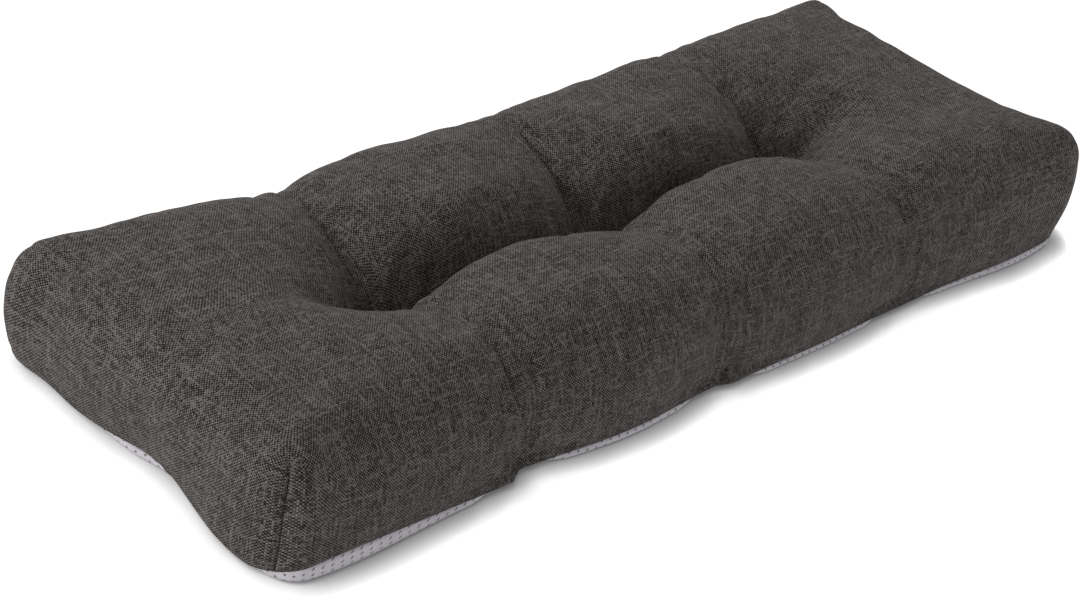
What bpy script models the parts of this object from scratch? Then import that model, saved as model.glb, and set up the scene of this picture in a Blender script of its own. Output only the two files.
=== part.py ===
"""Tufted bench cushion: one filled body with boxed corners and three tufts, on a thin non-slip base.

Metres, +Z up. X runs along the length, -Y is the front long side, and the origin is the
middle of the footprint on the surface that the cushion lies on.
"""

import bpy
import numpy as np

# Plan, measured between the corner seams; the sides bulge past it between the tufts.
CORNER_LENGTH = 0.896
CORNER_WIDTH = 0.309
HALF_L = CORNER_LENGTH / 2
HALF_W = CORNER_WIDTH / 2
TUFT_PITCH = CORNER_LENGTH / 4
TUFT_X = (-TUFT_PITCH, 0.0, TUFT_PITCH)

# Heights above the surface.
SEAM_HEIGHT = 0.0065
BOX_TOP = 0.100
CROWN_RISE = 0.0128

# Rounding between the top and the walls: tight at the boxed corners, soft along the sides.
CORNER_ROUND = 0.0187
END_ROUND = 0.0345
END_EXPONENT = 4.0
CORNER_REACH_ALONG = 16
CORNER_REACH_ACROSS = 10

# Each long side: its rounding, its creases at the tufts, and how far a crease line softens.
LONG_SIDES = {
    "front": {"round": 0.0520, "exponent": 5.0, "crease_at_tuft": 0.024, "softening": 0.0235},
    "back": {"round": 0.0343, "exponent": 2.26, "crease_at_tuft": 0.034, "softening": 0.0060},
}
ROUNDING_CHANGE = 0.3

# The two long rolls and the trough between them.
ROLL_CREST_Y = 0.069
TROUGH_DEPTH = 0.039
TROUGH_EXPONENT = 3.5
TROUGH_RUNOUT = 0.095
TROUGH_FADE = 0.010
RUNOUT_SOFTENING = 0.018
RUNOUT_WIDENING = (-0.010, 0.055)

# Creases across the rolls at each tuft, and the pit that the tuft pulls down.
CREASE_REACH = 0.058
CREASE_REACH_EXPONENT = 1.6
CREASE_EDGE = 0.002
CREASE_FADE_Y = 0.080
CREASE_IN_TROUGH = 0.25
PIT_DEPTH = 0.035
PIT_RADIUS = 0.047
PIT_EXPONENT = 1.25
LOBE_SHARPNESS = 0.97
LOBE_EXPONENT = 2.3

# Each tuft, left to right: depth of its creases where they meet the walls.
TUFTS = (
    {"front_crease": 0.0060, "back_crease": 0.0165},
    {"front_crease": 0.0060, "back_crease": 0.0045},
    {"front_crease": 0.0060, "back_crease": 0.0005},
)

# Each bay between the tuft lines, left to right: where along it the base seam is fullest, how
# far the seam stands out there and how high it is, and how much fuller the shoulder is.
FRONT_BAYS = (
    {"peak": 0.25, "out": 0.0115, "seam": 0.0155, "rise": 0.0},
    {"peak": 0.50, "out": 0.0105, "seam": 0.0078, "rise": 0.0},
    {"peak": 0.50, "out": 0.0030, "seam": 0.0065, "rise": 0.0},
    {"peak": 0.68, "out": 0.0075, "seam": 0.0085, "rise": 0.0090},
)
BACK_BAYS = (
    {"peak": 0.45, "out": 0.0090, "seam": 0.0080, "rise": -0.0014},
    {"peak": 0.50, "out": 0.0080, "seam": 0.0070, "rise": -0.0013},
    {"peak": 0.50, "out": 0.0125, "seam": 0.0085, "rise": -0.0011},
    {"peak": 0.55, "out": 0.0098, "seam": 0.0070, "rise": 0.0060},
)
BAY_EXPONENT = 1.5
SEAM_LIFT_EXPONENT = 1.3
WALL_BULGE = 0.0045
BELLY_EXPONENT = 0.8
NOTCH_EDGE = 0.008
BULGE_SHARES = {2: 0.35, 4: 0.65}

# The base seam steps in or out across each tuft line: outward shift on both sides of the line.
SEAM_STEPS = (
    {"x": -0.448, "front": 0.0, "back": 0.0},
    {"x": -0.231, "front": 0.0045, "back": 0.0},
    {"x": -0.217, "front": -0.0040, "back": 0.0010},
    {"x": -0.007, "front": -0.0015, "back": 0.0010},
    {"x": 0.007, "front": 0.0030, "back": -0.0010},
    {"x": 0.217, "front": 0.0010, "back": 0.0010},
    {"x": 0.231, "front": 0.0005, "back": 0.0},
    {"x": 0.448, "front": 0.0, "back": 0.0},
)

# Places where the filling is a little thinner or fuller than in an even pillow.
LUMPS = (
    {"x": -0.068, "y": -0.022, "reach_x": 0.048, "reach_y": 0.030, "rise": -0.0060},
    {"x": 0.045, "y": -0.022, "reach_x": 0.030, "reach_y": 0.026, "rise": 0.0045},
    {"x": -0.195, "y": -0.032, "reach_x": 0.040, "reach_y": 0.026, "rise": 0.0035},
    {"x": 0.400, "y": 0.120, "reach_x": 0.060, "reach_y": 0.050, "rise": -0.0030},
    {"x": 0.185, "y": 0.130, "reach_x": 0.045, "reach_y": 0.045, "rise": 0.0045},
)

# Corners: rounded in plan. Each stands out by x and y, less so at its foot, and swells half way up.
CORNER_PLAN_ROUND = 0.026
CORNER_SPREAD = 0.040
CORNER_FOOT = 0.8
CORNERS = (
    {"end": "left", "side": "front", "x": -0.0005, "y": -0.0035, "swell": 0.0},
    {"end": "left", "side": "back", "x": -0.0015, "y": 0.0015, "swell": 0.0075},
    {"end": "right", "side": "front", "x": 0.0100, "y": -0.0010, "swell": 0.0045},
    {"end": "right", "side": "back", "x": 0.0030, "y": 0.0030, "swell": 0.0030},
)

# The ends are drawn in near the middle of the seam, with a fuller lobe towards each corner.
END_BULGES = {"front": 0.0060, "back": 0.0100}
END_BULGE_CHANGE = (-0.02, 0.09)
END_DRAW_IN = 0.0125
END_DRAW_MIDDLE = -0.08
END_DRAW_WIDTH = 0.36
END_DRAW_EXPONENT = 2.2
END_LOBE_SAG = 0.0015
END_SEAM_RISE = 0.0020
END_LOBES = {"front": 0.0030, "back": -0.0055}
END_LOBE_EXPONENT = 2.2
END_LOBE_TOP_SHARE = 0.5
END_RISES = {"left": 0.0043, "right": 0.0029}

# Shares of the half size or of the height where a change of shape starts and is complete.
SIDE_ZONE = (0.45, 1.0)
END_ZONE = (0.82, 1.0)
SHOULDER_ZONE = (0.25, 0.8)
END_RISE_ZONE = (0.6, 1.0)
LOW_ZONE = (0.0, 0.6)
TOP_ZONE = (0.15, 0.9)

# Base panel: flat where it rests, rounded up to the seam, and dimpled under each tuft.
BASE_THICKNESS = 0.0016
RIM_INSET_DRAWN = 0.018
RIM_INSET_FULL = 0.003
RIM_BELLY = 0.002
RIM_STEPS = 3
DIMPLE_HEIGHT = 0.009
DIMPLE_RADIUS = 0.040
GAP = 0.0003

# Where the base panel reaches out to the seam: between the tuft lines, but not at the back
# corners, and on an end near its middle and its front corner.
PANEL_SIDE_ZONE = (0.60, 0.98)
PANEL_BACK_CORNER = (0.40, HALF_L)
PANEL_END_REACHES = (
    {"across": 0.05, "width": 0.30},
    {"across": -1.0, "width": 0.25},
)

# Mesh steps: per tuft bay, per half width, and down a wall.
BAY_STEPS = 14
HALF_WIDTH_STEPS = 10
WALL_STEPS = 5
EVENNESS = 0.55

QUARTER_TURN = np.pi / 2
FOLD_ANGLE = np.pi / 4

MATERIALS = {
    "cushion_body": {"color": (0.082, 0.074, 0.070, 1.0), "roughness": 0.92},
    "base_panel": {"color": (0.600, 0.585, 0.625, 1.0), "roughness": 0.80},
}


def smoothstep(low, high, value):
    share = np.clip((value - low) / (high - low), 0.0, 1.0)
    return share * share * (3.0 - 2.0 * share)


def soft_abs(value, edge):
    return np.sqrt(value * value + edge * edge) - edge


def clustered(steps):
    """Steps from 0 to 1, closer together near both ends."""
    even = np.linspace(0.0, 1.0, steps + 1)
    cosine = (1.0 - np.cos(np.pi * even)) / 2.0
    return EVENNESS * even + (1.0 - EVENNESS) * cosine


def length_stations():
    """Stations along the length from -1 to 1, with one on each tuft line."""
    bay = clustered(BAY_STEPS)[:-1]
    starts = (-1.0, -0.5, 0.0, 0.5)
    return np.concatenate([start + 0.5 * bay for start in starts] + [[1.0]])


def width_stations():
    """Stations across the width from -1 to 1, with one on the middle line."""
    half = clustered(HALF_WIDTH_STEPS)
    return np.concatenate([-half[::-1], half[1:]])


def rounding(station, side_radius, exponent):
    """Radius of the edge rounding at a station, from the corner value to the middle value."""
    return CORNER_ROUND + (side_radius - CORNER_ROUND) * (1.0 - np.abs(station) ** exponent)


def long_rounding(along, across):
    """Radius of the rounding of the long side that a point is nearer to."""
    front, back = (rounding(along, side["round"], side["exponent"]) for side in LONG_SIDES.values())
    return front + (back - front) * smoothstep(-ROUNDING_CHANGE, ROUNDING_CHANGE, across)


def edge_arc(run, half_width, radius):
    """Follow the flat top, a quarter round and the wall for a distance: reach out and drop."""
    flat = half_width - radius
    angle = np.clip((run - flat) / radius, 0.0, QUARTER_TURN)
    reach = np.where(run < flat, run, flat + radius * np.sin(angle))
    wall = np.clip(run - flat - radius * QUARTER_TURN, 0.0, None)
    return reach, radius * (1.0 - np.cos(angle)) + wall


def box_top(along, across):
    """Top of the plain box, out to the middle of the rounding on each side."""
    round_y = long_rounding(along, across)
    round_x = rounding(across, END_ROUND, END_EXPONENT)
    run_x = np.abs(along) * (HALF_L - round_x + round_x * FOLD_ANGLE)
    run_y = np.abs(across) * (HALF_W - round_y + round_y * FOLD_ANGLE)
    reach_x, drop_x = edge_arc(run_x, HALF_L, round_x)
    reach_y, drop_y = edge_arc(run_y, HALF_W, round_y)
    return np.stack([np.sign(along) * reach_x, np.sign(across) * reach_y, BOX_TOP - drop_x - drop_y], -1)


def wall_run(depth, half_width, radius):
    """Reach of a wall and its share of the drop, at depth 0 on the fold and 1 on the seam."""
    fold = half_width - radius + radius * FOLD_ANGLE
    length = radius * FOLD_ANGLE + (BOX_TOP - SEAM_HEIGHT - radius)
    reach, drop = edge_arc(fold + depth * length, half_width, radius)
    fold_drop = radius * (1.0 - np.cos(FOLD_ANGLE))
    return reach, (drop - fold_drop) / (BOX_TOP - SEAM_HEIGHT - fold_drop)


def corner_widening(depth, half_width):
    """How far the corner seam moves outward below its top end."""
    reach, _ = wall_run(depth, half_width, CORNER_ROUND)
    return reach - (half_width - CORNER_ROUND + CORNER_ROUND * np.sin(FOLD_ANGLE))


def long_wall(along, depth, side):
    """Wall of a long side, from the fold down to the seam."""
    fold = box_top(along, np.full_like(along, side))
    reach, share = wall_run(depth, HALF_W, long_rounding(along, np.full_like(along, side)))
    widening = corner_widening(depth, HALF_L) * np.abs(along) ** CORNER_REACH_ALONG
    x = fold[..., 0] + np.sign(along) * widening
    z = fold[..., 2] + (SEAM_HEIGHT - fold[..., 2]) * share
    return np.stack([x, side * reach, z], -1)


def end_wall(across, depth, side):
    """Wall of an end, from the fold down to the seam."""
    fold = box_top(np.full_like(across, side), across)
    reach, share = wall_run(depth, HALF_L, rounding(across, END_ROUND, END_EXPONENT))
    widening = corner_widening(depth, HALF_W) * np.abs(across) ** CORNER_REACH_ACROSS
    y = fold[..., 1] + np.sign(across) * widening
    z = fold[..., 2] + (SEAM_HEIGHT - fold[..., 2]) * share
    return np.stack([side * reach, y, z], -1)


def lobe(share, exponent):
    """Fall of a round roll into its crease: 0 on the crest, 1 in the crease."""
    share = LOBE_SHARPNESS * np.clip(share, 0.0, 1.0)
    bottom = (1.0 - LOBE_SHARPNESS ** exponent) ** (1.0 / exponent)
    height = (1.0 - share ** exponent) ** (1.0 / exponent)
    return (1.0 - height) / (1.0 - bottom)


def nearness(x, lines, edge):
    """1 on any of the given lines across the cushion, 0 half a bay away."""
    shares = [1.0 - soft_abs(x - line, edge) / (TUFT_PITCH / 2) for line in lines]
    return np.clip(np.max(shares, axis=0), 0.0, 1.0)


def bay_bulge(x):
    """0 at the tuft lines and the corners, 1 in the middle of each bay."""
    near = nearness(x, (-HALF_L,) + TUFT_X + (HALF_L,), NOTCH_EDGE)
    return 1.0 - sum(share * near ** power for power, share in BULGE_SHARES.items())


def end_ripple(across):
    """1 on the two fuller lobes of an end, 0 at its middle and its corners."""
    return np.sin(np.pi * across ** END_LOBE_EXPONENT) ** 2


def table_value(y, front, back):
    """The front value where y is negative, otherwise the back one."""
    return np.where(y < 0.0, front, back)


def bay_number(x):
    return np.clip((x + HALF_L) / TUFT_PITCH, 0, len(FRONT_BAYS) - 1).astype(int)


def bay_value(x, y, name):
    """Value from the tables of bays, for the bay and the long side that a point is in."""
    bay = bay_number(x)
    front, back = (np.array([row[name] for row in rows])[bay] for rows in (FRONT_BAYS, BACK_BAYS))
    return table_value(y, front, back)


def seam_fullness(x, y):
    """0 where the base seam is drawn in at the tuft lines and the corners, 1 at each bay's peak."""
    share = np.clip((x + HALF_L) / TUFT_PITCH - bay_number(x), 0.0, 1.0)
    skewed = share ** (np.log(0.5) / np.log(bay_value(x, y, "peak")))
    return np.sin(np.pi * skewed) ** BAY_EXPONENT


def seam_step(x, y):
    """Outward shift of the base seam, from the table of steps across the tuft lines."""
    spots = [row["x"] for row in SEAM_STEPS]
    front = np.interp(x, spots, [row["front"] for row in SEAM_STEPS])
    back = np.interp(x, spots, [row["back"] for row in SEAM_STEPS])
    return table_value(y, front, back)


def lump_rise(x, y):
    total = np.zeros_like(x)
    for lump in LUMPS:
        far_x = (x - lump["x"]) / lump["reach_x"]
        far_y = (y - lump["y"]) / lump["reach_y"]
        total += lump["rise"] * np.exp(-(far_x ** 2) - far_y ** 2)
    return total


def corner_rounding(x, y):
    """Inward shift that rounds the corners in plan."""
    past_x = np.clip((np.abs(x) - HALF_L) / CORNER_PLAN_ROUND + 1.0, 0.0, None)
    past_y = np.clip((np.abs(y) - HALF_W) / CORNER_PLAN_ROUND + 1.0, 0.0, None)
    past = np.hypot(past_x, past_y)
    past = np.where(past > 0.0, past, 1.0)
    inward = CORNER_PLAN_ROUND * (1.0 - np.maximum(past_x, past_y) / past)
    inward = np.where((past_x > 0.0) & (past_y > 0.0), inward, 0.0)
    return -inward[..., None] * np.stack([past_x * np.sign(x), past_y * np.sign(y)], -1)


def corner_shape(x, y, height, belly):
    """Shift in plan of each point that rounds the corners and lets them stand out."""
    shift = corner_rounding(x, y)
    foot = 1.0 - CORNER_FOOT * (1.0 - height) ** 2
    far_x = (HALF_L - np.abs(x)) / CORNER_SPREAD
    far_y = (HALF_W - np.abs(y)) / CORNER_SPREAD
    near = np.exp(-(far_x ** 2) - far_y ** 2)
    for corner in CORNERS:
        this_end = (x < 0.0) == (corner["end"] == "left")
        this_side = (y < 0.0) == (corner["side"] == "front")
        swell = corner["swell"] * belly
        out_x = corner["x"] * foot + np.sign(x) * swell
        out_y = corner["y"] * foot + np.sign(y) * swell
        shift += (near * this_end * this_side)[..., None] * np.stack([out_x, out_y], -1)
    return shift


def tuft_crease(x, y):
    """Depth of the crease at the wall, for the tuft that a point is nearest to."""
    tuft = np.clip(np.rint(x / TUFT_PITCH) + 1, 0, len(TUFTS) - 1).astype(int)
    front = np.array([row["front_crease"] for row in TUFTS])[tuft]
    back = np.array([row["back_crease"] for row in TUFTS])[tuft]
    return table_value(y, front, back)


def side_value(y, name):
    return table_value(y, LONG_SIDES["front"][name], LONG_SIDES["back"][name])


def tuft_distance(x, y):
    return np.min([np.hypot(x - tuft, y) for tuft in TUFT_X], axis=0)


def top_change(x, y, across):
    """Change in height of the top: crown, trough, creases and tuft pits."""
    crown = CROWN_RISE * (1.0 - (x / HALF_L) ** 4) * (1.0 - across ** 4)
    widening = smoothstep(*RUNOUT_WIDENING, np.abs(x) - TUFT_PITCH)
    trough_edge = 2.0 * CREASE_EDGE + RUNOUT_SOFTENING * widening
    trough = lobe(1.0 - soft_abs(y, trough_edge) / ROLL_CREST_Y, TROUGH_EXPONENT)
    fade = 1.0 - smoothstep(TUFT_PITCH - TROUGH_FADE, HALF_L - TROUGH_RUNOUT, np.abs(x))
    edge = CREASE_EDGE + side_value(y, "softening") * smoothstep(CREASE_FADE_Y, HALF_W, np.abs(y))
    crease = lobe(nearness(x, TUFT_X, edge), LOBE_EXPONENT)
    wall_depth = tuft_crease(x, y)
    reach = np.exp(-((np.abs(y) / CREASE_REACH) ** CREASE_REACH_EXPONENT))
    depth = wall_depth + (side_value(y, "crease_at_tuft") - wall_depth) * reach
    creases = depth * crease * (1.0 - (1.0 - CREASE_IN_TROUGH) * trough)
    pit = PIT_DEPTH * np.exp(-((tuft_distance(x, y) / PIT_RADIUS) ** PIT_EXPONENT))
    return crown + lump_rise(x, y) - TROUGH_DEPTH * fade * trough - creases - pit


def fill_out(box):
    """Turn the plain box into the stuffed and tufted shape."""
    x, y, z = box[..., 0], box[..., 1], box[..., 2]
    height = np.clip((z - SEAM_HEIGHT) / (BOX_TOP - SEAM_HEIGHT), 0.0, 1.0)
    along = np.clip(np.abs(x) / HALF_L, 0.0, 1.0)
    across = np.clip(np.abs(y) / HALF_W, 0.0, 1.0)
    low = 1.0 - smoothstep(*LOW_ZONE, height)
    belly = np.sin(np.pi * height ** BELLY_EXPONENT)

    bulge = bay_bulge(x)
    at_side = smoothstep(*SIDE_ZONE, across)
    seam_full = seam_fullness(x, y)
    seam_out = seam_full * bay_value(x, y, "out") + seam_step(x, y)
    out_y = (seam_out * (1.0 - height) + bulge * WALL_BULGE * belly) * at_side

    ripple = end_ripple(across)
    at_end = smoothstep(*END_ZONE, along)
    draw = np.exp(-(((y / HALF_W - END_DRAW_MIDDLE) / END_DRAW_WIDTH) ** 2))
    end_lobe = table_value(y, *END_LOBES.values()) * ripple * (1.0 - END_LOBE_TOP_SHARE * height)
    end_draw = END_DRAW_IN * draw * (1.0 - height) ** END_DRAW_EXPONENT
    front_bulge, back_bulge = END_BULGES.values()
    end_bulge = front_bulge + (back_bulge - front_bulge) * smoothstep(*END_BULGE_CHANGE, y)
    out_x = (end_bulge * belly * (1.0 - across ** 2) + end_lobe - end_draw) * at_end

    side_sag = (SEAM_HEIGHT - bay_value(x, y, "seam")) * seam_full ** SEAM_LIFT_EXPONENT * at_side
    end_sag = (END_LOBE_SAG * ripple - END_SEAM_RISE * draw) * at_end
    at_shoulder = np.sqrt(np.clip(bulge, 0.0, 1.0)) * smoothstep(*SHOULDER_ZONE, across)
    shoulder = bay_value(x, y, "rise") * at_shoulder
    end_rise = np.where(x < 0.0, END_RISES["left"], END_RISES["right"]) * smoothstep(*END_RISE_ZONE, along)
    rise = (top_change(x, y, across) + shoulder + end_rise) * smoothstep(*TOP_ZONE, height)
    lift = rise - (side_sag + end_sag) * low
    corner = corner_shape(x, y, height, belly)
    moved_x = x + np.sign(x) * out_x + corner[..., 0]
    moved_y = y + np.sign(y) * out_y + corner[..., 1]
    return np.stack([moved_x, moved_y, z + lift], -1)


def rim_of(grid):
    """The border of a grid, once round and closed, starting at its first corner."""
    sides = [grid[:-1, 0], grid[-1, :-1], grid[:0:-1, -1], grid[0, :0:-1], grid[:1, 0]]
    return np.concatenate(sides)


def patch_from_rim(rim, along, across):
    """Fill a grid from its border points, straight across from side to side."""
    share_x = ((along + 1.0) / 2.0)[:, None, None]
    share_y = ((across + 1.0) / 2.0)[None, :, None]
    ends = rim[:1] + (rim[-1:] - rim[:1]) * share_x
    sides = rim[:, :1] + (rim[:, -1:] - rim[:, :1]) * share_y
    first = rim[:1, :1] + (rim[-1:, :1] - rim[:1, :1]) * share_x
    last = rim[:1, -1:] + (rim[-1:, -1:] - rim[:1, -1:]) * share_x
    return ends + sides - first - (last - first) * share_y


def panel_side_fullness(along):
    """How far the base panel reaches out along the long sides, in front and at the back."""
    x = HALF_L * along
    full = 1.0 - smoothstep(*PANEL_SIDE_ZONE, nearness(x, TUFT_X, NOTCH_EDGE))
    return np.stack([full, full * (1.0 - smoothstep(*PANEL_BACK_CORNER, np.abs(x)))], -1)


def panel_end_fullness(across):
    """The same along an end."""
    reaches = [np.exp(-(((across - row["across"]) / row["width"]) ** 2)) for row in PANEL_END_REACHES]
    return np.clip(sum(reaches), 0.0, 1.0)


class Shell:
    """Collects grids of points and their triangles for one closed mesh."""

    def __init__(self):
        self.points = np.zeros((0, 3))
        self.faces = np.zeros((0, 3), dtype=int)

    def add(self, grid):
        first = len(self.points)
        self.points = np.vstack([self.points, grid.reshape(-1, 3)])
        return first + np.arange(grid.size // 3).reshape(grid.shape[:-1])

    def add_faces(self, faces, flip=False):
        self.faces = np.vstack([self.faces, faces[:, ::-1] if flip else faces])

    def cover(self, index, flip=False):
        """Two triangles for each cell, split along the same diagonal on every grid."""
        a, b, c, d = index[:-1, :-1], index[1:, :-1], index[1:, 1:], index[:-1, 1:]
        cells = np.stack([np.stack([a, b, c], -1), np.stack([a, c, d], -1)])
        self.add_faces(cells.reshape(-1, 3), flip)

    def normals(self):
        """Average normal at each point."""
        a, b, c = (self.points[self.faces[:, corner]] for corner in range(3))
        face_normals = np.cross(b - a, c - a)
        total = np.zeros_like(self.points)
        for corner in range(3):
            np.add.at(total, self.faces[:, corner], face_normals)
        return total / np.linalg.norm(total, axis=-1, keepdims=True)

    def to_object(self, name):
        mesh = bpy.data.meshes.new(name)
        mesh.from_pydata(self.points.tolist(), [], self.faces.tolist())
        mesh.shade_smooth()
        mesh.materials.append(make_material(name))
        piece = bpy.data.objects.new(name, mesh)
        bpy.context.scene.collection.objects.link(piece)


class BasePanel:
    """Outer face of the base panel, with its rim, and copies of it moved inward."""

    def __init__(self, seam, along, across):
        outward = np.zeros_like(seam)
        outward[..., 0] = along[:, None]
        outward[..., 1] = across[None, :]
        fullness = np.zeros(seam.shape[:2])
        fullness[[0, -1], :] = panel_end_fullness(across)
        fullness[:, [0, -1]] = panel_side_fullness(along)
        fullness = fullness[..., None]

        self.shell = Shell()
        rings = []
        for turn in np.linspace(QUARTER_TURN, 0.0, RIM_STEPS + 1):
            full = RIM_BELLY * np.sin(2.0 * turn) - RIM_INSET_FULL * (1.0 - np.cos(turn))
            drawn = -RIM_INSET_DRAWN * np.sin(turn)
            ring = seam + outward * (drawn + (full - drawn) * fullness)
            ring[..., 2] = (seam[..., 2] - GAP) * (1.0 - np.sin(turn))
            if not rings:
                rings.append(rim_of(self.shell.add(self.flat_part(ring, along, across))))
            else:
                closed = self.shell.add(rim_of(ring)[:-1])
                rings.append(np.append(closed, closed[0]))
        self.shell.cover(np.stack(rings))
        self.rim = rings[-1]
        self.inward = self.shell.normals()
        self.inward[self.rim] = -rim_of(outward)

    def flat_part(self, ring, along, across):
        patch = patch_from_rim(ring, along, across)
        radius = tuft_distance(patch[..., 0], patch[..., 1])
        patch[..., 2] = DIMPLE_HEIGHT * (1.0 - smoothstep(0.0, DIMPLE_RADIUS, radius))
        index = np.arange(patch.size // 3).reshape(patch.shape[:-1])
        self.shell.cover(index)
        return patch

    def copy_into(self, shell, distance, lift=0.0, flip=False):
        """Add a copy of the panel, moved inward by a distance, and return its rim."""
        points = self.shell.points + distance * self.inward
        points[self.rim[:-1], 2] += lift
        first = shell.add(points)[0]
        shell.add_faces(self.shell.faces + first, flip)
        return self.rim + first


def make_material(name):
    material = bpy.data.materials.new(name)
    material.use_nodes = True
    shader = material.node_tree.nodes["Principled BSDF"]
    shader.inputs["Base Color"].default_value = MATERIALS[name]["color"]
    shader.inputs["Roughness"].default_value = MATERIALS[name]["roughness"]
    shader.inputs["Metallic"].default_value = 0.0
    return material


def build_body(top, walls, panel):
    shell = Shell()
    top_index = shell.add(top)
    front, back, left, right = (shell.add(wall) for wall in walls)
    left_wall = np.vstack([front[:1], left, back[:1]])
    right_wall = np.vstack([front[-1:], right, back[-1:]])
    shell.cover(top_index)
    shell.cover(np.concatenate([top_index[:, :1], front], 1), flip=True)
    shell.cover(np.concatenate([top_index[:, -1:], back], 1))
    shell.cover(np.concatenate([top_index[0][:, None], left_wall], 1))
    shell.cover(np.concatenate([top_index[-1][:, None], right_wall], 1), flip=True)

    seam = np.zeros(top_index.shape, dtype=int)
    seam[:, 0] = front[:, -1]
    seam[:, -1] = back[:, -1]
    seam[0] = left_wall[:, -1]
    seam[-1] = right_wall[:, -1]
    under_rim = panel.copy_into(shell, BASE_THICKNESS + GAP, lift=GAP, flip=True)
    shell.cover(np.stack([under_rim, rim_of(seam)]), flip=True)
    shell.to_object("cushion_body")


def build_base(panel):
    shell = Shell()
    outer_rim = panel.copy_into(shell, 0.0, flip=True)
    inner_rim = panel.copy_into(shell, BASE_THICKNESS)
    shell.cover(np.stack([inner_rim, outer_rim]))
    shell.to_object("base_panel")


def seam_grid(walls, along, across):
    """Seam points on the border of a grid over the plan."""
    front, back, left, right = walls
    seam = np.zeros((len(along), len(across), 3))
    seam[:, 0] = front[:, -1]
    seam[:, -1] = back[:, -1]
    seam[0, 1:-1] = left[:, -1]
    seam[-1, 1:-1] = right[:, -1]
    return seam


def build_cushion():
    along = length_stations()
    across = width_stations()
    depth = np.linspace(0.0, 1.0, WALL_STEPS + 1)[1:]
    top = fill_out(box_top(*np.meshgrid(along, across, indexing="ij")))
    along_grid, long_depth = np.meshgrid(along, depth, indexing="ij")
    across_grid, end_depth = np.meshgrid(across[1:-1], depth, indexing="ij")
    walls = (
        fill_out(long_wall(along_grid, long_depth, -1.0)),
        fill_out(long_wall(along_grid, long_depth, 1.0)),
        fill_out(end_wall(across_grid, end_depth, -1.0)),
        fill_out(end_wall(across_grid, end_depth, 1.0)),
    )
    panel = BasePanel(seam_grid(walls, along, across), along, across)
    build_body(top, walls, panel)
    build_base(panel)


for item in list(bpy.data.objects):
    bpy.data.objects.remove(item, do_unlink=True)

build_cushion()
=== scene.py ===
"""Looks of the tufted bench cushion: a stuffed, heathered linen-look cover on a pale non-slip base.

Metres, in the frame of the CAD part: X along the length, -Y the front long side, +Z up, and the
origin in the middle of the footprint on the surface that the cushion lies on.
"""

import bpy
import numpy as np
from mathutils import Matrix, Vector


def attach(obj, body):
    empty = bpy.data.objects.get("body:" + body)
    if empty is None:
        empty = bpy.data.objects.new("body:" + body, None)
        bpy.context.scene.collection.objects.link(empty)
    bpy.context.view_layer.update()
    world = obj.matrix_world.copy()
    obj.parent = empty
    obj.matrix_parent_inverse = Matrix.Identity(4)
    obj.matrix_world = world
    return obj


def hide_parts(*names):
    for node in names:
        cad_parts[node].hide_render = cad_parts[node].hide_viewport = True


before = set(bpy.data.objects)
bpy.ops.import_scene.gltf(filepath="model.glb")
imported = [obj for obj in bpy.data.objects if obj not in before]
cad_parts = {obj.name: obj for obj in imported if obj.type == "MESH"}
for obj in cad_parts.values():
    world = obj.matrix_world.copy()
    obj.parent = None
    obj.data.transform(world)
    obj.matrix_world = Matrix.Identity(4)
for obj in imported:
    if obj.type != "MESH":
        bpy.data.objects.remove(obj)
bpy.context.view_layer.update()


def table(names, *rows):
    """Columns of a table, as arrays by name."""
    return {name: np.array(column) for name, column in zip(names.split(), zip(*rows))}


# ---- Sizes of the stuffed cover ----
# Plan, measured between the corner seams, and heights above the surface.
CORNER_LENGTH = 0.896
CORNER_WIDTH = 0.309
HALF_L = CORNER_LENGTH / 2
HALF_W = CORNER_WIDTH / 2
TUFT_PITCH = CORNER_LENGTH / 4
TUFT_X = (-TUFT_PITCH, 0.0, TUFT_PITCH)
SEAM_HEIGHT = 0.0055
BOX_TOP = 0.100
CROWN_RISE = 0.0128

# Rounding between the top and the walls: tight at the boxed corners, soft along the sides. A
# corner's widening reaches along an end and a long side with these powers.
CORNER_ROUND = 0.0187
END_ROUND = 0.0345
END_EXPONENT = 4.0
CORNER_REACHES = (10, 16)
ROUNDING_CHANGE = 0.3

# Each long side: its rounding, its creases at the tufts, and how far a crease line softens.
LONG_SIDES = {
    "front": {"round": 0.0520, "exponent": 5.0, "crease_at_tuft": 0.024, "softening": 0.0235},
    "back": {"round": 0.0343, "exponent": 2.26, "crease_at_tuft": 0.034, "softening": 0.0070},
}

# The trough between the two long rolls, and the cleft in its bottom between the tufts.
ROLL_CREST_Y = 0.069
TROUGH_DEPTH = 0.039
TROUGH_EXPONENT = 3.5
TROUGH_RUNOUT = 0.095
TROUGH_FADE = 0.010
RUNOUT_SOFTENING = 0.018
RUNOUT_WIDENING = (-0.010, 0.055)
CLEFT_DEPTH = 0.034
CLEFT_WIDTH = 0.010
CLEFT_END = 0.040
CLEFT_CLEAR = 0.022

# Creases across the rolls at each tuft, and the pit that the tuft pulls down, with its core.
CREASE_REACH = 0.058
CREASE_REACH_EXPONENT = 1.6
CREASE_EDGE = 0.0012
CREASE_FADE_Y = 0.080
CREASE_IN_TROUGH = 0.25
PIT_DEPTH = 0.035
PIT_RADIUS = 0.047
PIT_EXPONENT = 1.25
CORE_DEPTH = 0.014
CORE_RADIUS = 0.012
LOBE_SHARPNESS = 0.985
LOBE_EXPONENT = 2.3

# Each tuft, left to right: depth of its creases where they meet the walls, and how far the back
# one sways along the length on its way there.
TUFTS = table(
    "front_crease back_crease back_sway",
    (0.0055, 0.0165, 0.012),
    (0.0055, 0.0045, 0.004),
    (0.0055, 0.0005, 0.0),
)
SWAY_START = 0.02

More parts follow.
